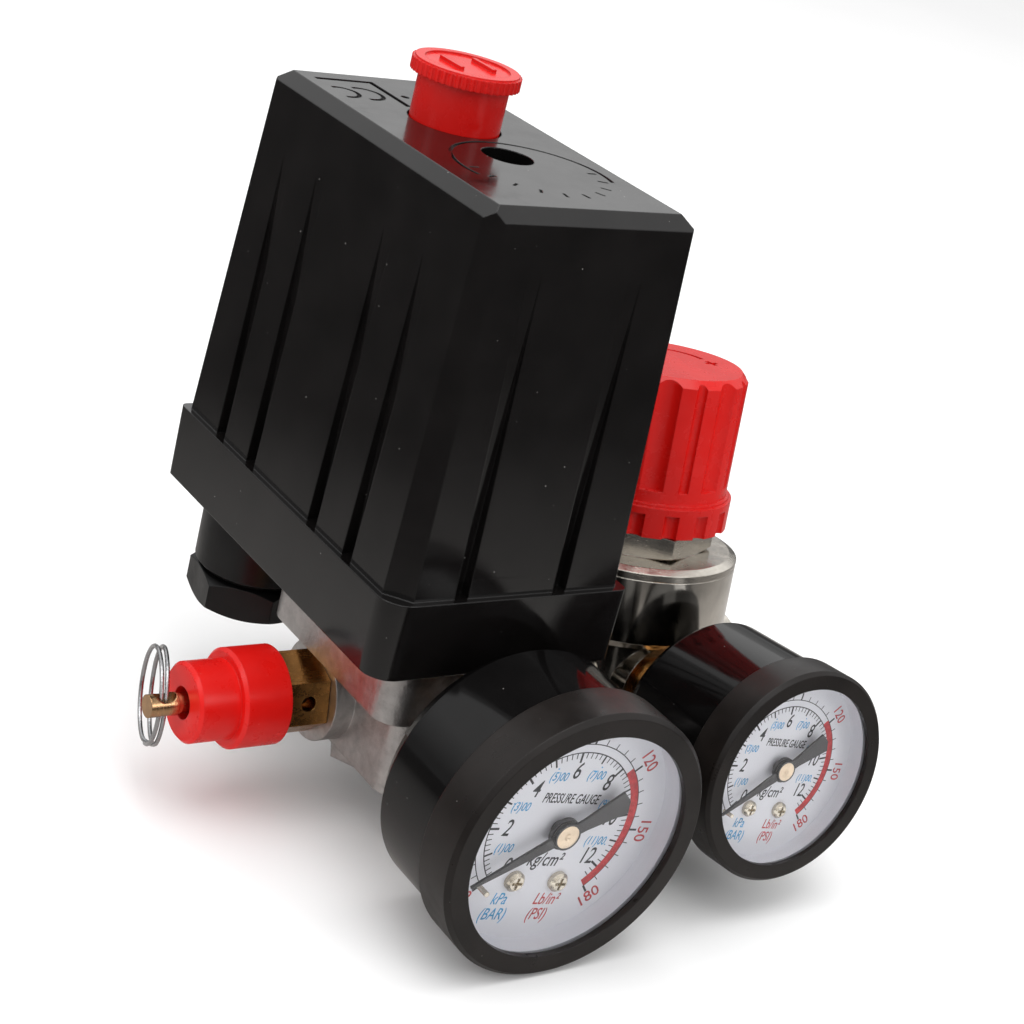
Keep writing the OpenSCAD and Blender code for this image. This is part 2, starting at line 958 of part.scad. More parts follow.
module reg_body() {
    color([0.82, 0.79, 0.72])
    at_reg()
    difference() {
        union() {
            translate([0, 0, 11.4])
                cylinder(r = reg_r, h = 13);
            translate([0, 0, 9.4])
                cylinder(r1 = reg_r - 3, r2 = reg_r, h = 2);
            translate([0, 0, -12])
                cylinder(r = 14.5, h = 23);
            // port bosses
            cyl_x(10, -21.4, 21);
            cyl_x(8.6, 20, 27.4);
            translate([0, -16, 0])
                rotate([-90, 0, 0])
                    cylinder(r = 9, h = 16);
        }
        cyl_x(port_r, -22, -11);
        cyl_x(port_r, 16.4, 31);
        cyl_x(2.6, -12, 17);
        translate([0, -17, 0])
            rotate([-90, 0, 0])
                cylinder(r = port_r, h = 10);
        translate([0, -8, 0])
            rotate([-90, 0, 0])
                cylinder(r = 2, h = 8);
        // chamber, valve seat and spring well
        translate([0, 0, 14])
            cylinder(r = 14, h = 12);
        translate([0, 0, -6])
            cylinder(r = 3, h = 22);
        translate([0, 0, -13])
            cylinder(r = 5, h = 11);
    }
}

module reg_bonnet() {
    color([0.82, 0.8, 0.74])
    at_reg()
    difference() {
        union() {
            translate([0, 0, 24.4])
                cylinder(r = reg_r, h = 1.4);
            translate([0, 0, 25.8])
                cylinder(r1 = reg_r, r2 = reg_r - 1.6, h = 0.8);
            translate([0, 0, 26.6])
                rotate([0, 0, 20.6])
                    nut_z(27, 5, 0.6);
            translate([0, 0, 31.5])
                cylinder(r = 10.5, h = 18);
        }
        translate([0, 0, 23])
            cylinder(r = 9, h = 24);
        translate([0, 0, 40])
            cylinder(r = 3.05, h = 20);
    }
}

module reg_knob() {
    top = 63.2;
    color(red)
    at_reg()
    difference() {
        union() {
            // grip
            translate([0, 0, 38.4])
                cylinder(r = reg_knob_r + 0.3, h = top - 39.9);
            translate([0, 0, top - 1.5])
                cylinder(r1 = reg_knob_r + 0.3, r2 = reg_knob_r - 1.1, h = 1.5);
            // castellated ring
            translate([0, 0, 37.9])
                cylinder(r = reg_knob_r + 0.9, h = 0.7);
            difference() {
                translate([0, 0, 32])
                    cylinder(r = reg_knob_r + 1.5, h = 6);
                for (i = [0 : 15])
                    rotate([0, 0, i * 22.5 + 4])
                        translate([reg_knob_r + 2.2, 0, 31])
                            cylinder(r = 1.7, h = 5.6);
            }
        }
        // grip flutes: wide shallow and narrow in turn
        for (i = [0 : 7])
            rotate([0, 0, i * 45 + 10])
                translate([reg_knob_r + 2.9, 0, 41])
                    cylinder(r = 3.6, h = top);
        for (i = [0 : 7])
            rotate([0, 0, i * 45 + 32.5])
                translate([reg_knob_r + 0.6, 0, 41])
                    cylinder(r = 1.1, h = top);
        // hollow that slides over the bonnet
        translate([0, 0, 31])
            cylinder(r = 12, h = 23.3);
        translate([0, 0, 54])
            cylinder(r = 3.4, h = 7, $fn = 6);
        // turning mark on the top: an arc and a plus sign
        translate([0, 0, top - 0.4])
            difference() {
                cylinder(r = 9.6, h = 2);
                translate([0, 0, -1])
                    cylinder(r = 8.6, h = 4);
                translate([-15, -30, -1])
                    cube([30, 30, 4]);
            }
        translate([9, -3, top])
            cube([3, 0.9, 0.8], center = true);
        translate([9, -3, top])
            cube([0.9, 3, 0.8], center = true);
    }
}

module reg_spindle() {
    color(steel)
    at_reg() {
        translate([0, 0, 42.6])
            cylinder(r = 3, h = 11.3);
        translate([0, 0, 52])
            cylinder(r = 3.1, h = 5, $fn = 6);
    }
}

module reg_spring() {
    color([0.55, 0.56, 0.58])
    at_reg()
        translate([0, 0, 17.2])
            coil(6.6, 1.8, 23.6, 6);
}

module reg_spring_plate() {
    color(steel)
    at_reg()
        translate([0, 0, 40.8])
            difference() {
                cylinder(r = 8.3, h = 1.75);
                translate([0, 0, -1])
                    cylinder(r = 3, h = 1.6);
            }
}

module reg_diaphragm() {
    color([0.12, 0.1, 0.09])
    at_reg() {
        translate([0, 0, 15])
            cylinder(r = 13.8, h = 1.2);
        translate([0, 0, 16.2])
            cylinder(r = 8.6, h = 1);
    }
}

module reg_poppet() {
    color(brass)
    at_reg() {
        translate([0, 0, -5.5])
            cylinder(r = 1.2, h = 20.4);
        translate([0, 0, -5.9])
            cylinder(r = 2.6, h = 3);
    }
}

module reg_plug() {
    color([0.8, 0.66, 0.4])
    at_reg()
        difference() {
            union() {
                translate([0, 0, -15.6])
                    nut_z(14, 3.6, 0.5);
                translate([0, 0, -12])
                    cylinder(r = 5, h = 4);
            }
        }
}

cover();
cover_screw();
on_off_knob();
base_plate();
gland_nuts();
gland_seals();
base_screws();
manifold();
diaphragm();
pressure_piston();
frame_bracket();
lever();
lever_pin();
main_spring();
spring_cup();
adjust_bolt();
contact_block();
fixed_contacts();
moving_contact();
terminal_screws();
earth_screws();
valve_body();
valve_cap();
valve_poppet();
valve_spring();
valve_stem();
pull_ring();
gauge1_case();
gauge1_bezel();
gauge1_lens();
gauge1_dial();
gauge1_dial_screws();
gauge1_pointer();
gauge1_socket();
gauge1_tube();
hex_nipple();
reg_body();
reg_bonnet();
reg_knob();
reg_spindle();
reg_spring();
reg_spring_plate();
reg_diaphragm();
reg_poppet();
reg_plug();
gauge2_case();
gauge2_bezel();
gauge2_lens();
gauge2_dial();
gauge2_dial_screws();
gauge2_pointer();
gauge2_socket();
gauge2_tube();
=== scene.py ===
import math

import bmesh
import bpy
from mathutils import Matrix, Vector


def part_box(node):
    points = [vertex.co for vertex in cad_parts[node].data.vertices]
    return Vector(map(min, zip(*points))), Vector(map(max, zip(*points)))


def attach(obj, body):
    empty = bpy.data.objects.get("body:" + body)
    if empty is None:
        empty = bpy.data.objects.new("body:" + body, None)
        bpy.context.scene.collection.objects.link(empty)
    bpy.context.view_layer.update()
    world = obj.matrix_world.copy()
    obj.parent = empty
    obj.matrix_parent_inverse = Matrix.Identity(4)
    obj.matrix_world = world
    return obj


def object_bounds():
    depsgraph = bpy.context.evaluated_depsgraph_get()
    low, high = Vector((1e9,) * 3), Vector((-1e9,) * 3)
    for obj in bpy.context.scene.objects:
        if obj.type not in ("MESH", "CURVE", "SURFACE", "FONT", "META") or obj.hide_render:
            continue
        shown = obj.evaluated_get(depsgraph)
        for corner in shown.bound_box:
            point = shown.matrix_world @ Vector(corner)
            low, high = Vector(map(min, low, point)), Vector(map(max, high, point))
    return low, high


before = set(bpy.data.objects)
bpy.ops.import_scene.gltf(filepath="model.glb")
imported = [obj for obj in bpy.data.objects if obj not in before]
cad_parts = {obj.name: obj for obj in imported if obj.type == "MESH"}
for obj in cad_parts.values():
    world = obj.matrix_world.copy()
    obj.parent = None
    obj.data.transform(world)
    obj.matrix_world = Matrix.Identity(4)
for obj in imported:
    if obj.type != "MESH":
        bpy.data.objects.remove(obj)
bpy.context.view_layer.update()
MM = 0.001
scene = bpy.context.scene
coll = scene.collection


# ---------------------------------------------------------------- camera
LENS = 74.717
SENSOR = 36.0
# the columns are the camera's right, up and backward directions, and its place in metres
CAMERA_AT = Matrix((
    (0.810358, 0.041331, -0.584475, -0.21432125),
    (-0.536859, 0.452000, -0.712376, -0.28059225),
    (0.234739, 0.891060, 0.388470, 0.20292406),
    (0, 0, 0, 1),
))

cam_data = bpy.data.cameras.new("Camera")
cam_data.lens = LENS
cam_data.sensor_width = SENSOR
cam_data.clip_start = 0.01
cam_data.clip_end = 50
cam = bpy.data.objects.new("Camera", cam_data)
coll.objects.link(cam)
cam.matrix_world = CAMERA_AT
scene.camera = cam
scene.view_settings.view_transform = "Standard"


# ---------------------------------------------------------------- material kit
# noise scales, in waves per metre
DRIFT = 90          # slow change of tint over a moulding
GLOSS = 160         # uneven gloss of a moulding
SWELL = 38          # sink marks of a thick moulding
RUB = 60            # faint rub marks
DUST_PATCH = 230    # where dust specks gather
METAL_GLOSS = 210   # uneven gloss of metal
BLOT = 170          # patches of tarnish
CAST_SKIN = 420     # lumps of a casting's skin
PIT_SCALE = 1500    # pits of a casting
LENS_TINT = 120     # change of the lens's tint
LENS_HAZE = 300     # haze on the lens
INK_PATCH = 900     # thin and thick places of printed ink
INK_GLOSS = 1500    # uneven gloss of printed ink
PAPER = 3           # change of tint over the floor


class Tree:
    """A material's nodes: a Principled shader with object coordinates, and short ways to add to it."""

    def __init__(self, name):
        self.m = bpy.data.materials.new(name)
        self.m.use_nodes = True
        self.t = self.m.node_tree
        self.t.nodes.clear()
        self.b = self.n("ShaderNodeBsdfPrincipled")
        self.link(self.b.outputs[0], self.n("ShaderNodeOutputMaterial").inputs[0])
        self.obj = self.n("ShaderNodeTexCoord").outputs["Object"]

    def n(self, kind, **props):
        node = self.t.nodes.new(kind)
        for k, v in props.items():
            setattr(node, k, v)
        return node

    def link(self, a, b):
        self.t.links.new(a, b)

    def noise(self, scale, detail=3.0, rough=0.5, stretch=None, distortion=0.0):
        where = self.obj
        if stretch:
            mapping = self.n("ShaderNodeMapping")
            mapping.inputs["Scale"].default_value = stretch
            self.link(where, mapping.inputs["Vector"])
            where = mapping.outputs[0]
        noise = self.n("ShaderNodeTexNoise")
        noise.inputs["Scale"].default_value = scale
        noise.inputs["Detail"].default_value = detail
        noise.inputs["Roughness"].default_value = rough
        noise.inputs["Distortion"].default_value = distortion
        self.link(where, noise.inputs["Vector"])
        return noise.outputs["Fac"]

    def cells(self, scale):
        voronoi = self.n("ShaderNodeTexVoronoi")
        voronoi.inputs["Scale"].default_value = scale
        self.link(self.obj, voronoi.inputs["Vector"])
        return voronoi.outputs["Distance"]

    def ramp(self, src, lo, hi, a=0.0, b=1.0):
        r = self.n("ShaderNodeMapRange")
        r.inputs["From Min"].default_value = lo
        r.inputs["From Max"].default_value = hi
        r.inputs["To Min"].default_value = a
        r.inputs["To Max"].default_value = b
        self.link(src, r.inputs["Value"])
        return r.outputs[0]

    def math(self, op, a, b):
        m = self.n("ShaderNodeMath", operation=op)
        for sock, x in zip(m.inputs, (a, b)):
            if isinstance(x, (int, float)):
                sock.default_value = x
            else:
                self.link(x, sock)
        return m.outputs[0]

    def mix(self, fac, a, b):
        m = self.n("ShaderNodeMix", data_type="RGBA")
        self.link(fac, m.inputs[0])
        for sock, x in ((m.inputs[6], a), (m.inputs[7], b)):
            if isinstance(x, tuple):
                sock.default_value = (*x, 1)
            else:
                self.link(x, sock)
        return m.outputs[2]

    def bump(self, height, strength, distance, normal=None):
        b = self.n("ShaderNodeBump")
        b.inputs["Strength"].default_value = strength
        b.inputs["Distance"].default_value = distance
        self.link(height, b.inputs["Height"])
        if normal is not None:
            self.link(normal, b.inputs["Normal"])
        return b.outputs[0]

    def round_edges(self, radius):
        b = self.n("ShaderNodeBevel", samples=4)
        b.inputs["Radius"].default_value = radius
        return b.outputs[0]

    def finish(self, colour, rough, normal=None):
        self.link(colour, self.b.inputs["Base Color"])
        self.link(rough, self.b.inputs["Roughness"])
        if normal is not None:
            self.link(normal, self.b.inputs["Normal"])
        return self.m


def shift(c, f):
    return tuple(max(0.0, min(1.0, x * f)) for x in c)


def plastic(name, colour, rough, var=0.35, rough_var=0.05, grain=0.0, grain_scale=2600, dust=0.0,
            dust_scale=520, dust_colour=(0.55, 0.53, 0.5), scuff=0.0, edge=0.0003, ior=1.5, wave=0.0):
    """Moulded plastic: slow tint drift, uneven gloss, fine skin, dust specks, faint rub marks."""
    t = Tree(name)
    drift = t.noise(DRIFT, 4.0, 0.55)
    col = t.mix(t.ramp(drift, 0.3, 0.7), shift(colour, 1 - var), shift(colour, 1 + var))
    r = t.ramp(t.noise(GLOSS, 5.0, 0.6), 0.35, 0.7, rough - rough_var, rough + rough_var)
    if scuff:
        rub = t.noise(RUB, 6.0, 0.7, stretch=(1.0, 1.0, 9.0), distortion=0.6)
        r = t.math("ADD", r, t.ramp(rub, 0.58, 0.72, 0.0, scuff))
    if dust:
        speck = t.ramp(t.cells(dust_scale), 0.02, 0.065, 1.0, 0.0)
        dot = t.math("MULTIPLY", speck, t.ramp(t.noise(DUST_PATCH, 2.0), 0.56, 0.62, 0.0, dust))
        col = t.mix(dot, col, dust_colour)
        r = t.math("ADD", r, t.math("MULTIPLY", dot, 0.5))
    t.b.inputs["IOR"].default_value = ior
    nrm = t.round_edges(edge) if edge else None
    if wave:
        nrm = t.bump(t.noise(SWELL, 2.0), wave, 0.0004, nrm)
    if grain:
        nrm = t.bump(t.noise(grain_scale, 3.0, 0.6), grain, 0.00004, nrm)
    return t.finish(col, r, nrm)


def metal(name, colour, rough, var=0.12, var_scale=260, rough_var=0.07, brush=None, brush_amt=0.25,
          grain=0.0, grain_scale=3000, pits=0.0, stain=None, stain_amt=0.5, edge=0.00025, cast=0.0):
    """Bare or plated metal with brushed lines, blast grain, pits and tarnish."""
    t = Tree(name)
    drift = t.noise(var_scale, 5.0, 0.6)
    col = t.mix(t.ramp(drift, 0.3, 0.7), shift(colour, 1 - var), shift(colour, 1 + var))
    if stain:
        col = t.mix(t.ramp(t.noise(BLOT, 6.0, 0.7, distortion=1.2), 0.52, 0.72, 0.0, stain_amt), col, stain)
    r = t.ramp(t.noise(METAL_GLOSS, 5.0, 0.6), 0.35, 0.7, rough - rough_var, rough + rough_var)
    nrm = t.round_edges(edge)
    if brush:
        lines = t.noise(1.0, 5.0, 0.7, stretch=brush)
        col = t.mix(t.ramp(lines, 0.35, 0.65), shift(colour, 1 - brush_amt), col)
        r = t.math("ADD", r, t.ramp(lines, 0.3, 0.7, -0.06, 0.08))
        nrm = t.bump(lines, 0.35, 0.00006, nrm)
    if cast:
        nrm = t.bump(t.noise(CAST_SKIN, 6.0, 0.65), cast, 0.00035, nrm)
    if grain:
        nrm = t.bump(t.noise(grain_scale, 3.0, 0.7), grain, 0.00006, nrm)
    if pits:
        nrm = t.bump(t.ramp(t.cells(PIT_SCALE), 0.0, 0.35), pits, 0.00005, nrm)
    t.b.inputs["Metallic"].default_value = 1.0
    return t.finish(col, r, nrm)


def clear(name):
    """Cast acrylic lens: clear, with faint surface haze."""
    t = Tree(name)
    t.b.inputs["Transmission Weight"].default_value = 1.0
    t.b.inputs["IOR"].default_value = 1.2
    col = t.mix(t.ramp(t.noise(LENS_TINT, 4.0), 0.3, 0.7), (0.985, 0.988, 0.995), (1.0, 1.0, 1.0))
    return t.finish(col, t.ramp(t.noise(LENS_HAZE, 5.0), 0.35, 0.75, 0.0, 0.012))


def ink(name, colour):
    """Screen-printed ink, a little uneven."""
    t = Tree(name)
    col = t.mix(t.ramp(t.noise(INK_PATCH, 4.0), 0.35, 0.65), shift(colour, 0.8), shift(colour, 1.25))
    return t.finish(col, t.ramp(t.noise(INK_GLOSS, 3.0), 0.3, 0.7, 0.42, 0.6))


# ---------------------------------------------------------------- materials
M = {
    "cover": plastic("m_cover", (0.0048, 0.0042, 0.0041), 0.135, rough_var=0.035, grain=0.05, dust=0.55,
                     dust_scale=430, scuff=0.10, edge=0.00035, wave=0.05),
    "red": plastic("m_red", (0.64, 0.007, 0.005), 0.27, ior=1.38, var=0.04, rough_var=0.06, grain=0.16,
                   dust=0.25, dust_colour=(0.9, 0.35, 0.3), edge=0.00025),
    "red_soft": plastic("m_red_soft", (0.68, 0.007, 0.005), 0.31, ior=1.38, var=0.05, rough_var=0.07,
                        grain=0.3, grain_scale=1900, dust=0.35, dust_colour=(0.95, 0.5, 0.45)),
    "nylon": plastic("m_nylon", (0.0055, 0.0052, 0.0052), 0.36, rough_var=0.08, grain=0.45,
                     grain_scale=1800, dust=0.4, ior=1.36),
    "rubber": plastic("m_rubber", (0.014, 0.013, 0.013), 0.62, rough_var=0.1, grain=0.5,
                      grain_scale=1500, edge=0.0002),
    "phenolic": plastic("m_phenolic", (0.035, 0.017, 0.010), 0.42, rough_var=0.08, grain=0.3, edge=0.0002),
    "case": plastic("m_case", (0.0032, 0.0029, 0.0029), 0.10, rough_var=0.03, dust=0.5, dust_scale=380,
                    scuff=0.06, edge=0.0004, wave=0.04, ior=1.36),
    "bezel": plastic("m_bezel", (0.0100, 0.0078, 0.0070), 0.34, rough_var=0.07, grain=0.22,
                     grain_scale=2200, dust=0.4, ior=1.34),
    "dial": plastic("m_dial", (0.80, 0.80, 0.845), 0.42, var=0.02, grain=0.06, dust=0.12,
                    dust_scale=260, dust_colour=(0.35, 0.35, 0.38), edge=0),
    "pointer": plastic("m_pointer", (0.055, 0.052, 0.054), 0.42, var=0.15, rough_var=0.08, grain=0.25,
                       edge=0.0001),
    "steel": metal("m_steel", (0.56, 0.55, 0.53), 0.28, brush=(300, 300, 3500), stain=(0.3, 0.26, 0.22),
                   stain_amt=0.3),
    "screw": metal("m_screw", (0.66, 0.60, 0.50), 0.24, grain=0.3, stain=(0.32, 0.25, 0.17), stain_amt=0.4),
    "ring": metal("m_ring", (0.46, 0.46, 0.47), 0.22, brush=(2600, 2600, 900), brush_amt=0.15),
    "spring": metal("m_spring", (0.42, 0.41, 0.40), 0.3, grain=0.3, stain=(0.2, 0.16, 0.12), stain_amt=0.3),
    "cast": metal("m_cast", (0.52, 0.50, 0.49), 0.40, var=0.18, var_scale=420, cast=0.6, grain=0.5,
                  pits=0.25, stain=(0.30, 0.29, 0.28), stain_amt=0.45, edge=0.0004),
    "copper": metal("m_copper", (0.75, 0.38, 0.24), 0.3, grain=0.2, stain=(0.35, 0.17, 0.1)),
    "brass": metal("m_brass", (0.60, 0.29, 0.09), 0.25, brush=(420, 3200, 420), brush_amt=0.3,
                   grain=0.15, stain=(0.28, 0.17, 0.07), stain_amt=0.55),
    "stem": metal("m_stem", (0.62, 0.38, 0.20), 0.22, brush=(2600, 500, 500), stain=(0.3, 0.16, 0.08),
                  stain_amt=0.4),
    "hub": metal("m_hub", (0.74, 0.60, 0.45), 0.3, grain=0.35, grain_scale=4200,
                 stain=(0.5, 0.38, 0.26), edge=0.0001),
    "nickel": metal("m_nickel", (0.62, 0.585, 0.53), 0.13, rough_var=0.05, grain=0.06,
                    stain=(0.40, 0.36, 0.30), stain_amt=0.25, edge=0.0003),
    "nickel_hex": metal("m_nickel_hex", (0.60, 0.56, 0.50), 0.2, rough_var=0.06, brush=(500, 500, 3000),
                        brush_amt=0.18, grain=0.2, stain=(0.36, 0.32, 0.25), stain_amt=0.35, edge=0.0003),
    "lens": clear("m_lens"),
}
INK = {
    "black": ink("m_ink_black", (0.022, 0.022, 0.026)),
    "red": ink("m_ink_red", (0.52, 0.045, 0.05)),
    "blue": ink("m_ink_blue", (0.06, 0.34, 0.62)),
}

# the record's material slots, and the CAD nodes whose finish differs from their slot's
BY_SLOT = {
    "abs_black": "cover", "abs_red": "red", "nylon_black": "nylon", "rubber": "rubber", "steel": "steel",
    "ring_steel": "ring", "spring_steel": "spring", "cast_aluminium": "cast", "phenolic": "phenolic",
    "copper": "copper", "brass": "brass", "nickel": "nickel", "case_black": "case",
    "bezel_black": "bezel", "lens": "lens", "dial_white": "dial", "pointer_grey": "pointer",
}
BY_NODE = {
    "valve_cap": "red_soft", "valve_stem": "stem", "reg_bonnet": "nickel_hex",
    "gauge1_dial_screws": "screw", "gauge2_dial_screws": "screw",
}
for name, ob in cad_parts.items():
    for s in ob.material_slots:
        s.material = M[BY_NODE.get(name) or BY_SLOT[s.material.name.split(".")[0]]]


# ---------------------------------------------------------------- mesh kit
def make(name, bm, mat, body, matrix, smooth=False):
    """A piece from a mesh drawn in mm, placed by the matrix, riding on a body."""
    me = bpy.data.meshes.new(name)
    bm.to_mesh(me)
    bm.free()
    me.transform(matrix)
    ob = bpy.data.objects.new(name, me)
    coll.objects.link(ob)
    me.materials.append(mat)
    for p in me.polygons:
        p.use_smooth = smooth
    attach(ob, body)


def sweep(bm, rows):
    """Join rows of four corners each into a closed bar."""
    for p, q in zip(rows, rows[1:]):
        for k in range(4):
            j = (k + 1) % 4
            bm.faces.new((p[k], p[j], q[j], q[k]))
    bm.faces.new(rows[0][::-1])
    bm.faces.new(rows[-1])


def arc_strip(bm, r0, r1, a0, a1, thick=0.02, steps=96):
    """Flat ring sector in the dial plane (x right, y up, z towards the eye), angles in degrees, in mm."""
    rows = []
    for i in range(steps + 1):
        a = math.radians(a0 + (a1 - a0) * i / steps)
        c, s = math.cos(a), math.sin(a)
        rows.append([bm.verts.new((r * c, r * s, z))
                     for r, z in ((r0, 0.0), (r1, 0.0), (r1, thick), (r0, thick))])
    sweep(bm, rows)


def tick(bm, angle, r0, r1, wide, thick=0.024):
    """Radial scale mark from r0 to r1."""
    a = math.radians(angle)
    c, s = math.cos(a), math.sin(a)
    corners = [(r0, -wide / 2), (r1, -wide / 2), (r1, wide / 2), (r0, wide / 2)]
    sweep(bm, [[bm.verts.new((r * c - t * s, r * s + t * c, z)) for r, t in corners] for z in (0, thick)])


CAPITAL = 0.72      # height of a capital letter over the font size
INK_HALF = 0.01     # half the thickness of printed words


def words(bm, text, x, y, height, turn=0.0, squeeze=0.72, slant=0.25, bold=0.02):
    """Numbers and units as thin raised ink, in mm; height is that of a capital."""
    cu = bpy.data.curves.new("ink", "FONT")
    cu.body = text
    cu.align_x = "CENTER"
    cu.align_y = "CENTER"
    cu.size = height / CAPITAL
    cu.shear = slant
    cu.offset = bold
    cu.extrude = INK_HALF
    cu.resolution_u = 3
    ob = bpy.data.objects.new("ink", cu)
    coll.objects.link(ob)
    bpy.context.view_layer.update()
    dg = bpy.context.evaluated_depsgraph_get()
    me = bpy.data.meshes.new_from_object(ob.evaluated_get(dg))
    me.transform(Matrix.Translation((x, y, INK_HALF)) @ Matrix.Rotation(math.radians(turn), 4, "Z")
                 @ Matrix.Diagonal((squeeze, 1, 1, 1)))
    bm.from_mesh(me)
    bpy.data.objects.remove(ob)
    bpy.data.curves.remove(cu)
    bpy.data.meshes.remove(me)


def polar(r, angle):
    return r * math.cos(math.radians(angle)), r * math.sin(math.radians(angle))


# ---------------------------------------------------------------- gauges
# sizes in mm in the drawing of the 52 mm gauge; the smaller gauge is the same drawing, scaled
DIAL_R = 23.3       # dial's edge
DIAL_MID = 5.4      # middle of the dial and its stop pin, behind the bezel's front
DIAL_FACE = 7.0     # the dial's printed face
HUB_FACE = 4.0      # the pointer's hub
INNER_R = 14.9      # circle of the inner scale
OUTER_R = 16.5      # circle of the outer scale
DIAL_TURN = -10.0   # the dials sit a little turned in their cases
ZERO_AT = 225.0     # both scales run clockwise from here, over SWEEP
SWEEP = 270.0
FULL = 12.66        # inner scale's full reading, 180 on the outer one
SAFE = FULL * 2 / 3     # 120 on the outer scale
RED_FROM = 8.3      # the red band starts a little before
KG_STEP = 0.2       # inner scale's finest step
KPA = 1.02          # 100 kPa on the inner scale
PSI_STEP = 9.0      # degrees for 6 psi, the outer scale's finest step
# length and width of the scales' marks
TEN_MARK = (2.0, 0.42)
FIVE_MARK = (1.7, 0.34)
PSI_MARK = (1.7, 0.40)
FINE_MARK = (1.15, 0.17)
REG_LEAN = math.radians(7.5)    # the regulator and its gauge lean back
GAUGES = (
    # name, lean, pointer's body
    ("gauge1", 0.0, "needle1"),
    ("gauge2", REG_LEAN, "needle2"),
)
WORDS = (
    # ink, text, x, y, height, squeeze, bold
    ("black", "PRESSURE GAUGE", 0.0, 5.7, 1.95, 0.58, 0.03),
    ("black", "kg/cm²", 0.2, -6.5, 2.75, 0.74, 0.03),
    ("blue", "kPa", -6.2, -14.5, 2.4, 0.72, 0.02),
    ("blue", "(BAR)", -6.4, -17.6, 2.4, 0.72, 0.02),
    ("red", "Lb/in²", 4.4, -14.5, 2.4, 0.72, 0.02),
    ("red", "(PSI)", 3.6, -17.6, 2.4, 0.72, 0.02),
)


def dial_place(which, lean, depth, turn=0.0, proud=0.0):
    """From the drawing's mm, x right and z towards the eye, to a plane of the gauge at that depth."""
    lo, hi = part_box(which + "_dial")
    k = (hi.x - lo.x) / (2 * DIAL_R * MM)
    axis = Vector((0, math.cos(lean), -math.sin(lean)))
    at = (lo + hi) / 2 + axis * ((depth - DIAL_MID) * k - proud) * MM
    return (Matrix.Translation(at) @ Matrix.Rotation(math.pi / 2 - lean, 4, "X")
            @ Matrix.Rotation(math.radians(turn), 4, "Z") @ Matrix.Diagonal((k * MM, k * MM, k * MM, 1)))


def reading(v):
    return ZERO_AT - SWEEP * v / FULL


def dial_print(which, lean):
    inks = {key: bmesh.new() for key in ("black", "red", "blue")}
    black, red, blue = inks.values()
    arc_strip(black, INNER_R - 0.13, INNER_R + 0.08, reading(0), reading(SAFE))
    arc_strip(black, OUTER_R - 0.08, OUTER_R + 0.10, reading(0), reading(SAFE))
    arc_strip(red, INNER_R, OUTER_R, reading(RED_FROM), reading(FULL), steps=60)
    arc_strip(black, OUTER_R - 0.02, OUTER_R + 0.12, reading(SAFE), reading(FULL), thick=0.025, steps=60)
    for i in range(int(FULL / KG_STEP)):
        long, wide = TEN_MARK if i % 10 == 0 else FIVE_MARK if i % 5 == 0 else FINE_MARK
        tick(black, reading(i * KG_STEP), INNER_R - long, INNER_R, wide)
    for i in range(round(SWEEP / PSI_STEP) + 1):
        long, wide = PSI_MARK if i % 5 == 0 else FINE_MARK
        tick(black, ZERO_AT - i * PSI_STEP, OUTER_R, OUTER_R + long, wide)
    # the longer numbers sit a little further in
    for v in range(0, 13, 2):
        x, y = polar(11.2 if v < 10 else 10.9, reading(v))
        words(black, str(v), x, y, 3.35, squeeze=0.70, bold=0.028, slant=0.22)
    for v in range(1, 12, 2):
        x, y = polar(11.0 if v < 9 else 10.0, reading(v * KPA))
        words(blue, "(%d)00" % v, x, y, 1.75, squeeze=0.74)
        tick(blue, reading(v * KPA), 12.6, 12.85, 0.3, thick=0.02)
    for i in range(7):
        # every 30 psi; the first and the last read from outside
        angle = ZERO_AT - i * 5 * PSI_STEP
        x, y = polar(19.7, angle)
        words(red, str(i * 30), x, y, 2.5, turn=angle + 90 if i in (0, 6) else angle - 90, squeeze=0.95,
              slant=0.0)
    for key, text, x, y, height, squeeze, bold in WORDS:
        words(inks[key], text, x, y, height, squeeze=squeeze, bold=bold)
    place = dial_place(which, lean, DIAL_FACE, DIAL_TURN, proud=0.01)
    for key, bm in inks.items():
        make(which + "_print_" + key, bm, INK[key], "housing", place)


def hub(which, lean, body):
    """The pointer's turned brass hub plate with its dimple: radius and depth from its face, revolved."""
    profile = [(0.0, 0.26), (0.32, 0.22), (0.55, 0.08), (0.62, -0.02), (0.7, -0.04), (1.9, -0.04),
               (2.3, 0.01), (2.5, 0.14), (2.58, 0.36), (2.6, 0.76)]
    around = 64
    bm = bmesh.new()
    rings = [[bm.verts.new((*polar(r, 360 * i / around), -d)) for i in range(around if r else 1)]
             for r, d in profile]
    for a, b in zip(rings, rings[1:]):
        for i in range(around):
            j = (i + 1) % around
            inner = (a[0],) if len(a) == 1 else (a[j], a[i])
            bm.faces.new((*inner, b[i], b[j]))
    make(which + "_hub", bm, M["hub"], body, dial_place(which, lean, HUB_FACE), smooth=True)


for which, lean, _ in GAUGES:
    dial_print(which, lean)
for which, lean, body in GAUGES:
    hub(which, lean, body)


# ---------------------------------------------------------------- stage
FLOOR_SIZE = 6.0     # half its side
FLOOR_GAP = 0.0002   # under the lowest point, so that the two faces don't fight
# in a mirrored ray the floor's colour is painted dark, a painted reflection of a dim sheet around this
# point of it, under the regulator
REFLECTION_PAINT_AT = (0.05, 0.0, 0.0)
REFLECTION_PAINT_NEAR = 0.06    # it starts to fade this far from the point
REFLECTION_PAINT_FAR = 0.27     # and is dark from here


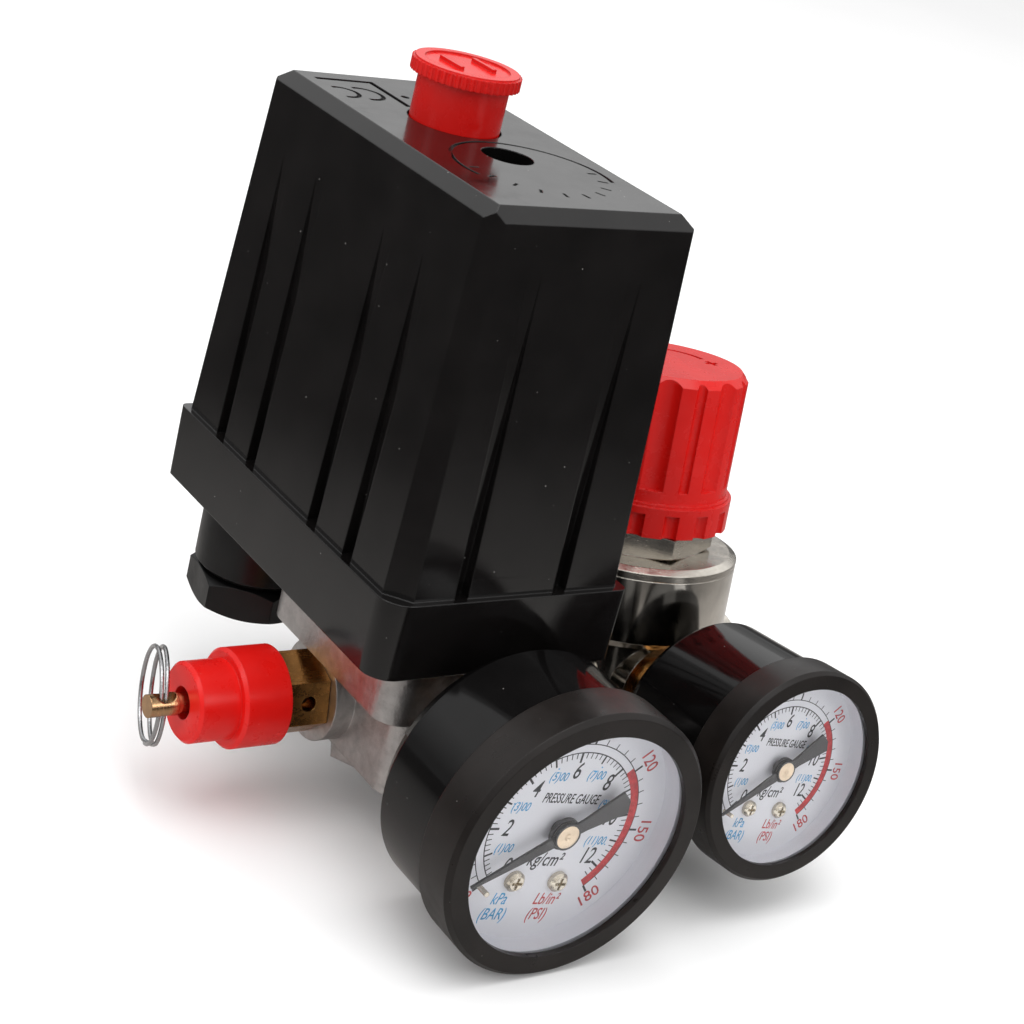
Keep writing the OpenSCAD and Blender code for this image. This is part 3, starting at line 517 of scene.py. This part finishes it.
def floor_material():
    """Pale paper. In mirrored rays its colour is painted dark away from a small grey patch, a painted
    reflection of a small sheet in a dark studio, which keeps the black mouldings black."""
    t = Tree("m_floor")
    pale = t.mix(t.ramp(t.noise(PAPER, 3.0), 0.3, 0.7), (0.90, 0.90, 0.90), (0.94, 0.94, 0.94))
    away = t.n("ShaderNodeVectorMath", operation="DISTANCE")
    t.link(t.obj, away.inputs[0])
    away.inputs[1].default_value = REFLECTION_PAINT_AT
    fade = t.ramp(away.outputs["Value"], REFLECTION_PAINT_NEAR, REFLECTION_PAINT_FAR)
    # painted reflection: in mirrored rays the floor's colour is painted grey near the point and near black
    # further off, which darkens what the mouldings mirror
    painted_reflection = t.mix(fade, (0.56, 0.54, 0.52), (0.03, 0.028, 0.027))
    path = t.n("ShaderNodeLightPath")
    # mask of the painted reflection: mirrored rays, except those that pass through the lens
    not_through_lens = t.math("SUBTRACT", 1.0, path.outputs["Is Transmission Ray"])
    painted_reflection_mask = t.math("MULTIPLY", path.outputs["Is Glossy Ray"], not_through_lens)
    t.link(t.mix(painted_reflection_mask, pale, painted_reflection), t.b.inputs["Base Color"])
    t.b.inputs["Roughness"].default_value = 0.75
    t.b.inputs["Specular IOR Level"].default_value = 0.2
    return t.m


lo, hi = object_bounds()
bm = bmesh.new()
bmesh.ops.create_grid(bm, x_segments=8, y_segments=8, size=FLOOR_SIZE)
me = bpy.data.meshes.new("floor")
bm.to_mesh(me)
bm.free()
me.materials.append(floor_material())
floor = bpy.data.objects.new("floor", me)
floor.location = (0, 0, lo[2] - FLOOR_GAP)
coll.objects.link(floor)

# name, place, what it points at, power in watts, width and height
LIGHTS = (
    ("top_light", (-0.1, -0.05, 0.95), (0, 0, 0.03), 5.0, 0.8, 0.8),
    ("back_light", (0.66, 0.80, 0.62), (0, 0, 0.10), 0.9, 1.2, 0.62),
    ("left_light", (-0.85, 0.05, 0.62), (0, 0, 0.05), 1.5, 0.35, 0.7),
    ("front_light", (0.45, -0.95, 0.55), (0, 0, 0.03), 1.6, 0.4, 0.5),
)
for name, place, target, power, wide, high in LIGHTS:
    light = bpy.data.lights.new(name, "AREA")
    light.energy = power
    light.shape = "RECTANGLE"
    light.size = wide
    light.size_y = high
    ob = bpy.data.objects.new(name, light)
    ob.location = place
    ob.rotation_euler = (Vector(target) - Vector(place)).to_track_quat("-Z", "Y").to_euler()
    coll.objects.link(ob)

# the room: how high a ray points, from 0 level to 1 straight up, and how bright the room is there
HORIZON = (0.10, 0.30)
OVERHEAD = (0.45, 1.0)
world = bpy.data.worlds.new("World")
scene.world = world
world.use_nodes = True
tree = world.node_tree
tree.nodes.clear()
out = tree.nodes.new("ShaderNodeOutputWorld")
sky = tree.nodes.new("ShaderNodeBackground")
coords = tree.nodes.new("ShaderNodeTexCoord")
split = tree.nodes.new("ShaderNodeSeparateXYZ")
height = tree.nodes.new("ShaderNodeMapRange")
for key, value in zip(("From Min", "To Min", "From Max", "To Max"), HORIZON + OVERHEAD):
    height.inputs[key].default_value = value
sky.inputs["Color"].default_value = (1, 1, 1, 1)
tree.links.new(coords.outputs["Generated"], split.inputs[0])
tree.links.new(split.outputs["Z"], height.inputs["Value"])
tree.links.new(height.outputs[0], sky.inputs["Strength"])
tree.links.new(sky.outputs[0], out.inputs[0])
